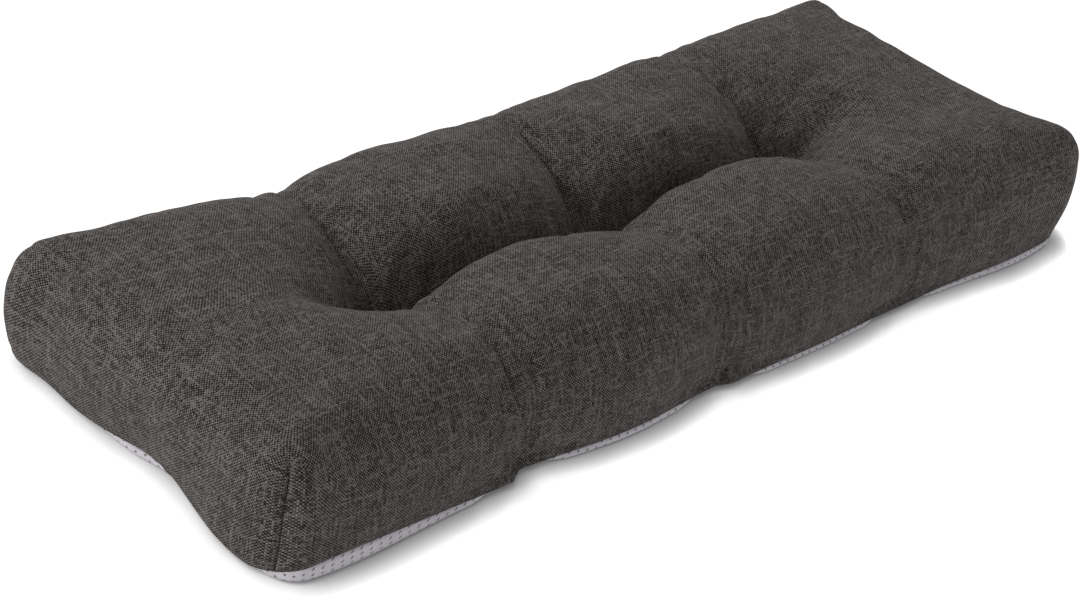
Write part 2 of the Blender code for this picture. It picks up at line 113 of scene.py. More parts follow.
# Each bay between the tuft lines, left to right: where along it the base seam is fullest, how
# far the seam stands out there and how high it is, and how much fuller the shoulder is.
FRONT_BAYS = table(
    "peak out seam rise",
    (0.25, 0.0115, 0.0155, 0.0),
    (0.50, 0.0105, 0.0078, 0.0),
    (0.50, 0.0030, 0.0065, 0.0),
    (0.68, 0.0075, 0.0085, 0.0090),
)
BACK_BAYS = table(
    "peak out seam rise",
    (0.45, 0.0090, 0.0080, -0.0014),
    (0.50, 0.0080, 0.0070, -0.0013),
    (0.50, 0.0125, 0.0085, -0.0011),
    (0.55, 0.0098, 0.0070, 0.0060),
)
BAY_COUNT = 4
BAY_EXPONENT = 1.5
SEAM_LIFT_EXPONENT = 1.3
WALL_BULGE = 0.0045
BELLY_EXPONENT = 0.8
NOTCH_EDGE = 0.008
BULGE_SHARES = {2: 0.35, 4: 0.65}

# The base seam steps in or out across each tuft line: outward shift on both sides of the line.
SEAM_STEPS = table(
    "x front back",
    (-0.448, 0.0, 0.0),
    (-0.231, 0.0045, 0.0),
    (-0.217, -0.0040, 0.0010),
    (-0.007, -0.0015, 0.0010),
    (0.007, 0.0030, -0.0010),
    (0.217, 0.0010, 0.0010),
    (0.231, 0.0005, 0.0),
    (0.448, 0.0, 0.0),
)

# Places where the filling is a little thinner or fuller: x, y, reach along x and y, and rise.
LUMPS = (
    (-0.068, -0.022, 0.048, 0.030, -0.0060),
    (0.045, -0.022, 0.030, 0.026, 0.0045),
    (-0.195, -0.032, 0.040, 0.026, 0.0035),
    (0.400, 0.120, 0.060, 0.050, -0.0030),
    (-0.245, 0.140, 0.026, 0.036, -0.0035),
    (0.185, 0.130, 0.045, 0.045, 0.0045),
)

# Corners: rounded in plan. Each stands out by x and y, less so at its foot, and swells half way up.
CORNER_PLAN_ROUND = 0.026
CORNER_SPREAD = 0.040
CORNER_FOOT = 0.8
CORNERS = {
    ("left", "front"): {"x": -0.0005, "y": -0.0035, "swell": 0.0},
    ("left", "back"): {"x": -0.0015, "y": 0.0015, "swell": 0.0075},
    ("right", "front"): {"x": 0.0100, "y": -0.0010, "swell": 0.0045},
    ("right", "back"): {"x": 0.0030, "y": 0.0030, "swell": 0.0030},
}

# The ends are drawn in near the middle of the seam, with a fuller lobe towards each corner.
END_BULGES = {"front": 0.0060, "back": 0.0100}
END_BULGE_CHANGE = (-0.02, 0.09)
END_DRAW_IN = 0.0125
END_DRAW_MIDDLE = -0.08
END_DRAW_WIDTH = 0.36
END_DRAW_EXPONENT = 2.2
END_LOBE_SAG = 0.0015
END_SEAM_RISE = 0.0020
END_LOBES = {"front": 0.0030, "back": -0.0055}
END_LOBE_EXPONENT = 2.2
END_LOBE_TOP_SHARE = 0.5
END_RISES = {"left": 0.0043, "right": 0.0029}

# Shares of the half size or of the height where a change of shape starts and is complete.
SIDE_ZONE = (0.45, 1.0)
END_ZONE = (0.82, 1.0)
SHOULDER_ZONE = (0.25, 0.8)
END_RISE_ZONE = (0.6, 1.0)
LOW_ZONE = (0.0, 0.6)
TOP_ZONE = (0.15, 0.9)

# Mesh steps of the fine cover; the simulated one has every second point.
BAY_STEPS = 84
HALF_WIDTH_STEPS = 56
WALL_STEPS = 32
EVENNESS = 0.55

QUARTER_TURN = np.pi / 2
FOLD_ANGLE = np.pi / 4


def smoothstep(low, high, value):
    share = np.clip((value - low) / (high - low), 0.0, 1.0)
    return share * share * (3.0 - 2.0 * share)


def soft_abs(value, edge):
    return np.sqrt(value * value + edge * edge) - edge


def bell(value, width):
    return np.exp(-((value / width) ** 2))


def clustered(steps):
    """Steps from 0 to 1, closer together near both ends."""
    even = np.linspace(0.0, 1.0, steps + 1)
    cosine = (1.0 - np.cos(np.pi * even)) / 2.0
    return EVENNESS * even + (1.0 - EVENNESS) * cosine


def length_stations():
    """Stations along the length from -1 to 1, with one on each tuft line."""
    bay = clustered(BAY_STEPS)[:-1]
    return np.concatenate([start + 0.5 * bay for start in (-1.0, -0.5, 0.0, 0.5)] + [[1.0]])


def width_stations():
    """Stations across the width from -1 to 1, with one on the middle line."""
    half = clustered(HALF_WIDTH_STEPS)
    return np.concatenate([-half[::-1], half[1:]])


def rounding(station, side_radius, exponent):
    """Radius of the edge rounding at a station, from the corner value to the middle value."""
    return CORNER_ROUND + (side_radius - CORNER_ROUND) * (1.0 - np.abs(station) ** exponent)


def long_rounding(along, across):
    """Radius of the rounding of the long side that a point is nearer to."""
    front, back = (rounding(along, side["round"], side["exponent"]) for side in LONG_SIDES.values())
    return front + (back - front) * smoothstep(-ROUNDING_CHANGE, ROUNDING_CHANGE, across)


def edge_arc(run, half_width, radius):
    """Follow the flat top, a quarter round and the wall for a distance: reach out and drop."""
    flat = half_width - radius
    angle = np.clip((run - flat) / radius, 0.0, QUARTER_TURN)
    reach = np.where(run < flat, run, flat + radius * np.sin(angle))
    wall = np.clip(run - flat - radius * QUARTER_TURN, 0.0, None)
    return reach, radius * (1.0 - np.cos(angle)) + wall


def box_top(along, across):
    """Top of the plain box, out to the middle of the rounding on each side."""
    round_y = long_rounding(along, across)
    round_x = rounding(across, END_ROUND, END_EXPONENT)
    run_x = np.abs(along) * (HALF_L - round_x + round_x * FOLD_ANGLE)
    run_y = np.abs(across) * (HALF_W - round_y + round_y * FOLD_ANGLE)
    reach_x, drop_x = edge_arc(run_x, HALF_L, round_x)
    reach_y, drop_y = edge_arc(run_y, HALF_W, round_y)
    z = BOX_TOP - drop_x - drop_y
    return np.stack([np.sign(along) * reach_x, np.sign(across) * reach_y, z], -1)


def wall_run(depth, half_width, radius):
    """Reach of a wall and its share of the drop, at depth 0 on the fold and 1 on the seam."""
    fold = half_width - radius + radius * FOLD_ANGLE
    length = radius * FOLD_ANGLE + (BOX_TOP - SEAM_HEIGHT - radius)
    reach, drop = edge_arc(fold + depth * length, half_width, radius)
    fold_drop = radius * (1.0 - np.cos(FOLD_ANGLE))
    return reach, (drop - fold_drop) / (BOX_TOP - SEAM_HEIGHT - fold_drop)


def corner_widening(depth, half_width):
    """How far the corner seam moves outward below its top end."""
    reach, _ = wall_run(depth, half_width, CORNER_ROUND)
    return reach - (half_width - CORNER_ROUND + CORNER_ROUND * np.sin(FOLD_ANGLE))


def wall(station, depth, side, axis):
    """Wall of an end (axis 0) or of a long side (axis 1), from the fold down to the seam."""
    edge = np.full_like(station, side)
    place = (edge, station) if axis == 0 else (station, edge)
    radius = rounding(station, END_ROUND, END_EXPONENT) if axis == 0 else long_rounding(*place)
    reach, share = wall_run(depth, (HALF_L, HALF_W)[axis], radius)
    widening = corner_widening(depth, (HALF_W, HALF_L)[axis]) * np.abs(station) ** CORNER_REACHES[axis]
    points = box_top(*place)
    points[..., axis] = side * reach
    points[..., 1 - axis] += np.sign(station) * widening
    points[..., 2] += (SEAM_HEIGHT - points[..., 2]) * share
    return points


def lobe(share, exponent):
    """Fall of a round roll into its crease: 0 on the crest, 1 in the crease."""
    share = LOBE_SHARPNESS * np.clip(share, 0.0, 1.0)
    bottom = (1.0 - LOBE_SHARPNESS ** exponent) ** (1.0 / exponent)
    height = (1.0 - share ** exponent) ** (1.0 / exponent)
    return (1.0 - height) / (1.0 - bottom)


def nearness(x, lines, edge):
    """1 on any of the given lines across the cushion, 0 half a bay away."""
    shares = [1.0 - soft_abs(x - line, edge) / (TUFT_PITCH / 2) for line in lines]
    return np.clip(np.max(shares, axis=0), 0.0, 1.0)


def bay_bulge(x):
    """0 at the tuft lines and the corners, 1 in the middle of each bay."""
    near = nearness(x, (-HALF_L,) + TUFT_X + (HALF_L,), NOTCH_EDGE)
    return 1.0 - sum(share * near ** power for power, share in BULGE_SHARES.items())


def end_ripple(across):
    """1 on the two fuller lobes of an end, 0 at its middle and its corners."""
    return np.sin(np.pi * across ** END_LOBE_EXPONENT) ** 2


def by_side(y, front, back):
    """The front value where y is negative, otherwise the back one."""
    return np.where(y < 0.0, front, back)


def side_value(y, name):
    return by_side(y, *(side[name] for side in LONG_SIDES.values()))


def bay_number(x):
    return np.clip((x + HALF_L) / TUFT_PITCH, 0, BAY_COUNT - 1).astype(int)


def bay_value(x, y, name):
    """Value from the tables of bays, for the bay and the long side that a point is in."""
    return by_side(y, *(bays[name][bay_number(x)] for bays in (FRONT_BAYS, BACK_BAYS)))


def seam_fullness(x, y):
    """0 where the base seam is drawn in at the tuft lines and the corners, 1 at each bay's peak."""
    share = np.clip((x + HALF_L) / TUFT_PITCH - bay_number(x), 0.0, 1.0)
    skewed = share ** (np.log(0.5) / np.log(bay_value(x, y, "peak")))
    return np.sin(np.pi * skewed) ** BAY_EXPONENT


def seam_step(x, y):
    """Outward shift of the base seam, from the table of steps across the tuft lines."""
    return by_side(y, *(np.interp(x, SEAM_STEPS["x"], SEAM_STEPS[side]) for side in ("front", "back")))


def lump_rise(x, y):
    lumps = (
        rise * bell(x - middle_x, reach_x) * bell(y - middle_y, reach_y)
        for middle_x, middle_y, reach_x, reach_y, rise in LUMPS
    )
    return sum(lumps)


def corner_rounding(x, y):
    """Inward shift that rounds the corners in plan."""
    past_x = np.clip((np.abs(x) - HALF_L) / CORNER_PLAN_ROUND + 1.0, 0.0, None)
    past_y = np.clip((np.abs(y) - HALF_W) / CORNER_PLAN_ROUND + 1.0, 0.0, None)
    past = np.hypot(past_x, past_y)
    past = np.where(past > 0.0, past, 1.0)
    inward = CORNER_PLAN_ROUND * (1.0 - np.maximum(past_x, past_y) / past)
    inward = np.where((past_x > 0.0) & (past_y > 0.0), inward, 0.0)
    return -inward[..., None] * np.stack([past_x * np.sign(x), past_y * np.sign(y)], -1)


def corner_shape(x, y, height, belly):
    """Shift in plan of each point that rounds the corners and lets them stand out."""
    shift = corner_rounding(x, y)
    foot = 1.0 - CORNER_FOOT * (1.0 - height) ** 2
    near = bell(HALF_L - np.abs(x), CORNER_SPREAD) * bell(HALF_W - np.abs(y), CORNER_SPREAD)
    for (end, side), out in CORNERS.items():
        here = near * ((x < 0.0) == (end == "left")) * ((y < 0.0) == (side == "front"))
        swell = out["swell"] * belly
        moved = [out["x"] * foot + np.sign(x) * swell, out["y"] * foot + np.sign(y) * swell]
        shift = shift + here[..., None] * np.stack(moved, -1)
    return shift


def tuft_number(x):
    """Number of the tuft that a point is nearest to."""
    return np.clip(np.rint(x / TUFT_PITCH) + 1, 0, len(TUFT_X) - 1).astype(int)


def tuft_distance(x, y):
    return np.min([np.hypot(x - tuft, y) for tuft in TUFT_X], axis=0)


def straightened(x, y):
    """Place along the length, shifted so that the swayed back creases fall on the tuft lines."""
    tuft = tuft_number(x)
    near = np.clip(1.0 - np.abs(x - np.array(TUFT_X)[tuft]) / (TUFT_PITCH / 2), 0.0, 1.0)
    return x - TUFTS["back_sway"][tuft] * near * smoothstep(SWAY_START, HALF_W, y)


def top_change(x, y, across):
    """Change in height of the top: crown, lumps, trough, cleft, creases and tuft pits."""
    crown = CROWN_RISE * (1.0 - (x / HALF_L) ** 4) * (1.0 - across ** 4)
    past_tufts = np.abs(x) - TUFT_PITCH
    trough_edge = 2.0 * CREASE_EDGE + RUNOUT_SOFTENING * smoothstep(*RUNOUT_WIDENING, past_tufts)
    from_middle = soft_abs(y, trough_edge)
    trough = lobe(1.0 - from_middle / ROLL_CREST_Y, TROUGH_EXPONENT)
    fade = 1.0 - smoothstep(-TROUGH_FADE, HALF_L - TROUGH_RUNOUT - TUFT_PITCH, past_tufts)
    radius = tuft_distance(x, y)
    clear = (1.0 - smoothstep(0.0, CLEFT_END, past_tufts)) * (1.0 - bell(radius, CLEFT_CLEAR))
    cleft = CLEFT_DEPTH * np.exp(-from_middle / CLEFT_WIDTH) * clear
    edge = CREASE_EDGE + side_value(y, "softening") * smoothstep(CREASE_FADE_Y, HALF_W, np.abs(y))
    crease = lobe(nearness(straightened(x, y), TUFT_X, edge), LOBE_EXPONENT)
    wall_depth = by_side(y, *(TUFTS[name][tuft_number(x)] for name in ("front_crease", "back_crease")))
    reach = np.exp(-((np.abs(y) / CREASE_REACH) ** CREASE_REACH_EXPONENT))
    depth = wall_depth + (side_value(y, "crease_at_tuft") - wall_depth) * reach
    creases = depth * crease * (1.0 - (1.0 - CREASE_IN_TROUGH) * trough)
    pit = PIT_DEPTH * np.exp(-((radius / PIT_RADIUS) ** PIT_EXPONENT))
    core = CORE_DEPTH * bell(radius, CORE_RADIUS)
    return crown + lump_rise(x, y) - TROUGH_DEPTH * fade * trough - cleft - creases - pit - core


def fill_out(box):
    """Turn the plain box into the stuffed and tufted shape."""
    x, y, z = box[..., 0], box[..., 1], box[..., 2]
    height = np.clip((z - SEAM_HEIGHT) / (BOX_TOP - SEAM_HEIGHT), 0.0, 1.0)
    along = np.clip(np.abs(x) / HALF_L, 0.0, 1.0)
    across = np.clip(np.abs(y) / HALF_W, 0.0, 1.0)
    low = 1.0 - smoothstep(*LOW_ZONE, height)
    belly = np.sin(np.pi * height ** BELLY_EXPONENT)

    bulge = bay_bulge(x)
    at_side = smoothstep(*SIDE_ZONE, across)
    seam_full = seam_fullness(x, y)
    seam_out = seam_full * bay_value(x, y, "out") + seam_step(x, y)
    out_y = (seam_out * (1.0 - height) + bulge * WALL_BULGE * belly) * at_side

    ripple = end_ripple(across)
    at_end = smoothstep(*END_ZONE, along)
    draw = bell(y / HALF_W - END_DRAW_MIDDLE, END_DRAW_WIDTH)
    end_lobe = by_side(y, *END_LOBES.values()) * ripple * (1.0 - END_LOBE_TOP_SHARE * height)
    end_draw = END_DRAW_IN * draw * (1.0 - height) ** END_DRAW_EXPONENT
    front_bulge, back_bulge = END_BULGES.values()
    end_bulge = front_bulge + (back_bulge - front_bulge) * smoothstep(*END_BULGE_CHANGE, y)
    out_x = (end_bulge * belly * (1.0 - across ** 2) + end_lobe - end_draw) * at_end

    side_sag = (SEAM_HEIGHT - bay_value(x, y, "seam")) * seam_full ** SEAM_LIFT_EXPONENT * at_side
    end_sag = (END_LOBE_SAG * ripple - END_SEAM_RISE * draw) * at_end
    at_shoulder = np.sqrt(np.clip(bulge, 0.0, 1.0)) * smoothstep(*SHOULDER_ZONE, across)
    shoulder = bay_value(x, y, "rise") * at_shoulder
    end_rise = np.where(x < 0.0, END_RISES["left"], END_RISES["right"]) * smoothstep(*END_RISE_ZONE, along)
    rise = (top_change(x, y, across) + shoulder + end_rise) * smoothstep(*TOP_ZONE, height)
    lift = rise - (side_sag + end_sag) * low
    corner = corner_shape(x, y, height, belly)
    moved_x = x + np.sign(x) * out_x + corner[..., 0]
    moved_y = y + np.sign(y) * out_y + corner[..., 1]
    return np.stack([moved_x, moved_y, z + lift], -1)


# ---- The cover as five grids that share their borders ----
PATCHES = ("top", "front", "back", "left", "right")
FLIPPED = ("front", "right")


def cell_corners(grid):
    """The four corner values of each cell of a grid."""
    return np.stack([grid[:-1, :-1], grid[1:, :-1], grid[1:, 1:], grid[:-1, 1:]], 2)


def cell_faces(index):
    """One face for each cell of a grid of point numbers."""
    return cell_corners(index).reshape(-1, 4)


def point_normals(points, faces):
    """Average normal at each point."""
    corners = points[faces]
    face_normals = np.cross(corners[:, 2] - corners[:, 0], corners[:, 3] - corners[:, 1])
    total = np.zeros_like(points)
    for corner in range(4):
        np.add.at(total, faces[:, corner], face_normals)
    return total / np.linalg.norm(total, axis=-1, keepdims=True)


def run_along(grid, axis):
    """Distance along the cloth from the first row or column of a grid."""
    steps = np.linalg.norm(np.diff(grid, axis=axis), axis=-1)
    return np.insert(np.cumsum(steps, axis=axis), 0, 0.0, axis=axis)


def bay_runs(top):
    """Distance along the cloth from end to end, evened out within each bay between the tuft lines."""
    run = run_along(top, 0)
    lines = run[::BAY_STEPS].mean(1)
    lines = lines - (lines[0] + lines[-1]) / 2.0
    even = np.empty_like(run)
    for bay in range(BAY_COUNT):
        rows = slice(bay * BAY_STEPS, (bay + 1) * BAY_STEPS + 1)
        share = (run[rows] - run[rows][:1]) / (run[rows][-1:] - run[rows][:1])
        even[rows] = lines[bay] + (lines[bay + 1] - lines[bay]) * share
    return even


class Cover:
    """Points of the cover on five welded grids, with the cloth's flat coordinates."""

    def __init__(self, grids):
        self.index = self.weld(grids)
        self.count = 1 + max(int(index.max()) for index in self.index.values())
        self.points = np.zeros((self.count, 3))
        for name in PATCHES:
            self.points[self.index[name]] = grids[name]

    @staticmethod
    def weld(grids):
        """Point numbers of each grid, the same on both sides of a shared border."""
        rows, columns = grids["top"].shape[:2]
        depth = grids["front"].shape[1]
        top = np.arange(rows * columns).reshape(rows, columns)
        start = rows * columns
        index = {"top": top}
        for name, border in (("front", top[:, :1]), ("back", top[:, -1:])):
            new = start + np.arange(rows * (depth - 1)).reshape(rows, depth - 1)
            index[name] = np.concatenate([border, new], 1)
            start += new.size
        for name, row in (("left", 0), ("right", -1)):
            new = start + np.arange((columns - 2) * (depth - 1)).reshape(columns - 2, depth - 1)
            inner = np.vstack([index["front"][row, 1:], new, index["back"][row, 1:]])
            index[name] = np.concatenate([top[row][:, None], inner], 1)
            start += new.size
        return index

    def grids(self):
        return {name: self.points[self.index[name]] for name in PATCHES}

    def coarse(self):
        return Cover({name: grid[::2, ::2] for name, grid in self.grids().items()})

    def quads(self):
        """Faces of all grids."""
        return np.concatenate([
            cell_faces(self.index[name])[:, ::-1 if name in FLIPPED else 1] for name in PATCHES
        ])

    def seam_ring(self):
        """Point numbers once round the lower edge, anticlockwise from the front left corner."""
        front, right = self.index["front"][:, -1], self.index["right"][:, -1]
        back, left = self.index["back"][:, -1], self.index["left"][:, -1]
        return np.concatenate([front[:-1], right[:-1], back[:0:-1], left[:0:-1]])

    def flat_coordinates(self):
        """Places of the grids on the flat cloth, measured from the front edge, and from the back one."""
        grids = self.grids()
        u = bay_runs(grids["top"])
        run = run_along(grids["top"], 1)
        half_width = run[:, -1].max() / 2.0
        walls = (
            ("front", -half_width, -1.0), ("back", half_width, 1.0),
            ("left", u[0, 0], -1.0), ("right", u[-1, 0], 1.0),
        )
        halves = []
        for v in (run - half_width, half_width - run[:, -1:] + run):
            borders = {"front": u[:, 0], "back": u[:, -1], "left": v[0], "right": v[-1]}
            flat = {"top": np.stack([u, v], -1)}
            for name, edge, sign in walls:
                depth = edge + sign * run_along(grids[name], 1).mean(0)
                spots = np.stack(np.meshgrid(borders[name], depth, indexing="ij"), -1)
                flat[name] = spots[..., ::-1] if name in ("left", "right") else spots
            halves.append(flat)
        return halves

    def weave_coordinates(self):
        """Flat coordinates of each corner of quads(); the two halves meet along the middle line."""
        front, back = self.flat_coordinates()
        spots = []
        for name in PATCHES:
            corners, behind = cell_corners(front[name]), cell_corners(back[name])
            if name == "top":
                corners[:, HALF_WIDTH_STEPS:] = behind[:, HALF_WIDTH_STEPS:]
            elif name in ("left", "right"):
                corners[HALF_WIDTH_STEPS:] = behind[HALF_WIDTH_STEPS:]
            spots.append(corners.reshape(-1, 4, 2)[:, ::-1 if name in FLIPPED else 1])
        return np.concatenate(spots)


def plain_cover():
    """The stuffed shape from its sizes alone, on the fine grid."""
    along, across = length_stations(), width_stations()
    depth = np.linspace(0.0, 1.0, WALL_STEPS + 1)
    long_side = np.meshgrid(along, depth, indexing="ij")
    end = np.meshgrid(across, depth, indexing="ij")
    boxes = {
        "top": box_top(*np.meshgrid(along, across, indexing="ij")),
        "front": wall(*long_side, -1.0, 1),
        "back": wall(*long_side, 1.0, 1),
        "left": wall(*end, -1.0, 0),
        "right": wall(*end, 1.0, 0),
    }
    return Cover({name: fill_out(box) for name, box in boxes.items()})


# ---- Cloth simulation ----
# It starts a little inside the shape. Of its result, each move is capped, the folds are kept in
# the middle of the length and calmer towards the back edge, and a share of the slow swell is kept.
INSET = 0.004
MOVE_CAP = 0.007
SWELL_SHARE = 0.35
SMOOTHING_ROUNDS = 30
FOLDS_FADE_X = (0.26, 0.36)
FOLDS_FADE_Y = (0.095, 0.135)
FOLDS_LOST_AT_BACK = 0.75
CLOTH_FRAMES = 20
CLOTH_SETTINGS = {
    "quality": 6,
    "mass": 0.25,
    "tension_stiffness": 20.0,
    "compression_stiffness": 20.0,
    "shear_stiffness": 8.0,
    "bending_stiffness": 0.6,
    "shrink_min": -0.012,
    "use_pressure": True,
    "uniform_pressure_force": 4.0,
    "vertex_group_mass": "held",
    "pin_stiffness": 1.0,
}

# How firmly the cloth is held. A zone gives the distances where a hold starts to fade and ends.
TUFT_HOLD_ZONE = (0.008, 0.022)
TROUGH_HOLD = 0.9
TROUGH_HOLD_WIDTH = 0.008
TROUGH_HOLD_RUNOUT = 0.03
CREASE_HOLDS = {"front": 0.30, "back": 0.95}
CREASE_HOLD_WIDTH = 0.004
CORNER_HOLD = 0.65
CORNER_HOLD_ZONE = (0.015, 0.060)
LEAST_HOLD = 0.02

# The folds of the top stay above this height, clear of the lower walls.
FOLD_FLOOR = 0.03


def midpoints(grid, axis):
    """Smoothly interpolate a grid to twice the steps along one axis."""
    g = np.moveaxis(grid, axis, 0)
    padded = np.concatenate([2.0 * g[:1] - g[1:2], g, 2.0 * g[-1:] - g[-2:-1]])
    middle = (9.0 * (padded[1:-2] + padded[2:-1]) - padded[:-3] - padded[3:]) / 16.0
    out = np.empty((2 * len(g) - 1,) + g.shape[1:])
    out[::2] = g
    out[1::2] = middle
    return np.moveaxis(out, 0, axis)


def hold_weights(cover):
    """How firmly each point is held during the simulation: seam, tufts, creases and corners."""
    x, y, z = cover.points.T
    tufts = 1.0 - smoothstep(*TUFT_HOLD_ZONE, tuft_distance(x, y))
    between = np.abs(x) < TUFT_PITCH + TROUGH_HOLD_RUNOUT
    trough = TROUGH_HOLD * bell(y, TROUGH_HOLD_WIDTH) * between * (z > FOLD_FLOOR)
    line = np.min([np.abs(straightened(x, y) - each) for each in TUFT_X], axis=0)
    crease = by_side(y, *CREASE_HOLDS.values()) * bell(line, CREASE_HOLD_WIDTH) * (z > FOLD_FLOOR)
    from_corner = np.hypot(HALF_L - np.abs(x), HALF_W - np.abs(y))
    corner = CORNER_HOLD * (1.0 - smoothstep(*CORNER_HOLD_ZONE, from_corner))
    held = np.max([tufts, trough, crease, corner], axis=0)
    held[cover.seam_ring()] = 1.0
    return held


def inflate(cover):
    """Cloth simulation of the cover under the filling's pressure: how far each point moves."""
    held = hold_weights(cover)
    faces = cover.quads()
    start = cover.points - point_normals(cover.points, faces) * (INSET * (1.0 - held))[:, None]
    mesh = bpy.data.meshes.new("simulated")
    mesh.from_pydata(start.tolist(), [], faces.tolist())
    piece = bpy.data.objects.new("simulated", mesh)
    bpy.context.scene.collection.objects.link(piece)
    group = piece.vertex_groups.new(name="held")
    for number, weight in enumerate(held):
        if weight > LEAST_HOLD:
            group.add([number], float(weight), "REPLACE")
    modifier = piece.modifiers.new("Cloth", "CLOTH")
    for name, value in CLOTH_SETTINGS.items():
        setattr(modifier.settings, name, value)
    modifier.settings.effector_weights.gravity = 0.0
    modifier.collision_settings.use_collision = False
    modifier.collision_settings.use_self_collision = False
    modifier.point_cache.frame_start = 1
    modifier.point_cache.frame_end = CLOTH_FRAMES
    for number in range(1, CLOTH_FRAMES + 1):
        bpy.context.scene.frame_set(number)
    shown = piece.evaluated_get(bpy.context.evaluated_depsgraph_get())
    result = np.zeros(start.size)
    shown.data.vertices.foreach_get("co", result)
    bpy.data.objects.remove(piece, do_unlink=True)
    bpy.context.scene.frame_set(1)
    move = result.reshape(-1, 3) - start
    far = np.linalg.norm(move, axis=-1, keepdims=True)
    move = move * np.minimum(1.0, MOVE_CAP / np.maximum(far, 1e-9))
    return start + move - cover.points


def smoothed(cover, move):
    """The slow part of a movement: its mean over the neighbours, many times over."""
    faces = cover.quads()
    edges = np.concatenate([faces[:, [corner, corner - 3]] for corner in range(4)])
    count = np.bincount(edges.ravel(), minlength=cover.count)[:, None]
    for _ in range(SMOOTHING_ROUNDS):
        total = np.zeros_like(move)
        np.add.at(total, edges[:, 0], move[edges[:, 1]])
        np.add.at(total, edges[:, 1], move[edges[:, 0]])
        move = 0.5 * move + 0.5 * total / count
    return move


def add_simulation(cover):
    """Move the fine cover as the simulated coarse one moved: its folds, and part of its swell."""
    coarse = cover.coarse()
    move = inflate(coarse)
    slow = smoothed(coarse, move)
    x, y = coarse.points[:, :1], coarse.points[:, 1:2]
    folded = 1.0 - smoothstep(*FOLDS_FADE_X, np.abs(x))
    folded = folded * (1.0 - FOLDS_LOST_AT_BACK * smoothstep(*FOLDS_FADE_Y, y))
    move = (move - slow) * folded + SWELL_SHARE * slow
    grids = cover.grids()
    for name in PATCHES:
        grids[name] = grids[name] + midpoints(midpoints(move[coarse.index[name]], 0), 1)
    return Cover(grids)


# ---- Wrinkles, sharp folds and the sunk corner seams ----
COARSE_WAVES = {"height": 0.0005, "size": 0.075, "seed": 11}
FINE_WAVES = {"height": 0.00022, "size": 0.028, "seed": 12}
SEAM_WAVES = {"height": 0.00045, "size": 0.017, "seed": 13}
SEAM_WAVES_START = 0.004
SEAM_WAVES_END = 0.022

# Folds down the walls at each tuft line: offset from the line, half width, and rise. Their shares
# are for the front (-1) and the back (1), and sines make them differ from tuft to tuft.
NOTCH_FOLDS = (
    (-0.030, 0.0065, 0.0009),
    (-0.017, 0.0050, -0.0011),
    (-0.007, 0.0040, 0.0010),
    (0.003, 0.0040, -0.0013),
    (0.012, 0.0045, 0.0011),
    (0.023, 0.0055, -0.0009),
    (0.036, 0.0070, 0.0008),
)
NOTCH_SHIFT = 0.004
NOTCH_VARIATION = 0.35
NOTCH_SHARES = {-1.0: 1.0, 1.0: 0.35}
NOTCH_SPREAD_AT_FOOT = 0.55
WALL_FOOT_ZONE = (0.012, 0.030)
WALL_HEAD_ZONE = (0.070, 0.100)
WALL_ZONE = (0.7, 0.95)

# Gathers in a ring round each tuft.
GATHER_HEIGHT = 0.0009
GATHER_RADIUS = 0.026
GATHER_WIDTH = 0.017
GATHER_COUNT = 9

# Sharp fold from each tuft to the back edge: depth, and where it starts to fade and ends.
FOLD_LINES = (
    (0.0050, 0.080, 0.128),
    (0.0060, 0.085, 0.135),
    (0.0040, 0.060, 0.110),
)
FOLD_START_ZONE = (0.012, 0.035)
FOLD_LAP_WIDTH = 0.0016
FOLD_SLOPE_WIDTH = 0.0060

CORNER_SEAM_DEPTH = 0.0021
CORNER_SEAM_START_STEPS = 5


def waves(u, v, height, size, seed, count=16):
    """Smooth random field of the given height, with features of the given size."""
    rng = np.random.default_rng(seed)
    total = np.zeros_like(u)
    for _ in range(count):
        angle, phase = rng.uniform(0.0, 2.0 * np.pi, 2)
        pace = 2.0 * np.pi / (size * rng.uniform(0.7, 1.5))
        total += np.cos(pace * (u * np.cos(angle) + v * np.sin(angle)) + phase)
    return height * total * np.sqrt(2.0 / count)


def wrinkles(cover):
    """Height of the wrinkles above the smooth cover at each point."""
    x, y, z = cover.points.T
    flat, _ = cover.flat_coordinates()
    spots = np.zeros((cover.count, 2))
    for name in PATCHES:
        spots[cover.index[name]] = flat[name]
    u, v = spots.T
    height = waves(u, v, **COARSE_WAVES) + waves(u, v, **FINE_WAVES)

    on_wall = smoothstep(*WALL_FOOT_ZONE, z) * (1.0 - smoothstep(*WALL_HEAD_ZONE, z))
    on_wall = on_wall * smoothstep(*WALL_ZONE, np.abs(y) / HALF_W)
    spread = NOTCH_SPREAD_AT_FOOT + (1.0 - NOTCH_SPREAD_AT_FOOT) * np.clip(z / BOX_TOP, 0.0, 1.0)
    for number, line in enumerate(TUFT_X):
        for side, share in NOTCH_SHARES.items():
            start = line + NOTCH_SHIFT * np.sin(7.0 * number + 2.0 * side)
            strength = share * (1.0 + NOTCH_VARIATION * np.cos(5.0 * number + side))
            for offset, width, rise in NOTCH_FOLDS:
                fold = bell(x - start - offset * spread, width)
                height += strength * rise * fold * on_wall * (np.sign(y) == side)

        angle = np.arctan2(y, x - line)
        ring = bell(np.hypot(x - line, y) - GATHER_RADIUS, GATHER_WIDTH) * (z > FOLD_FLOOR)
        turn = GATHER_COUNT * angle + 1.7 * number + 0.8 * np.sin(2.0 * angle)
        height += GATHER_HEIGHT * ring * np.sin(turn)

    above = z - SEAM_HEIGHT
    near_seam = smoothstep(0.0, SEAM_WAVES_START, above) * (1.0 - smoothstep(0.0, SEAM_WAVES_END, above))
    return height + near_seam * waves(u + v, u - v, **SEAM_WAVES)


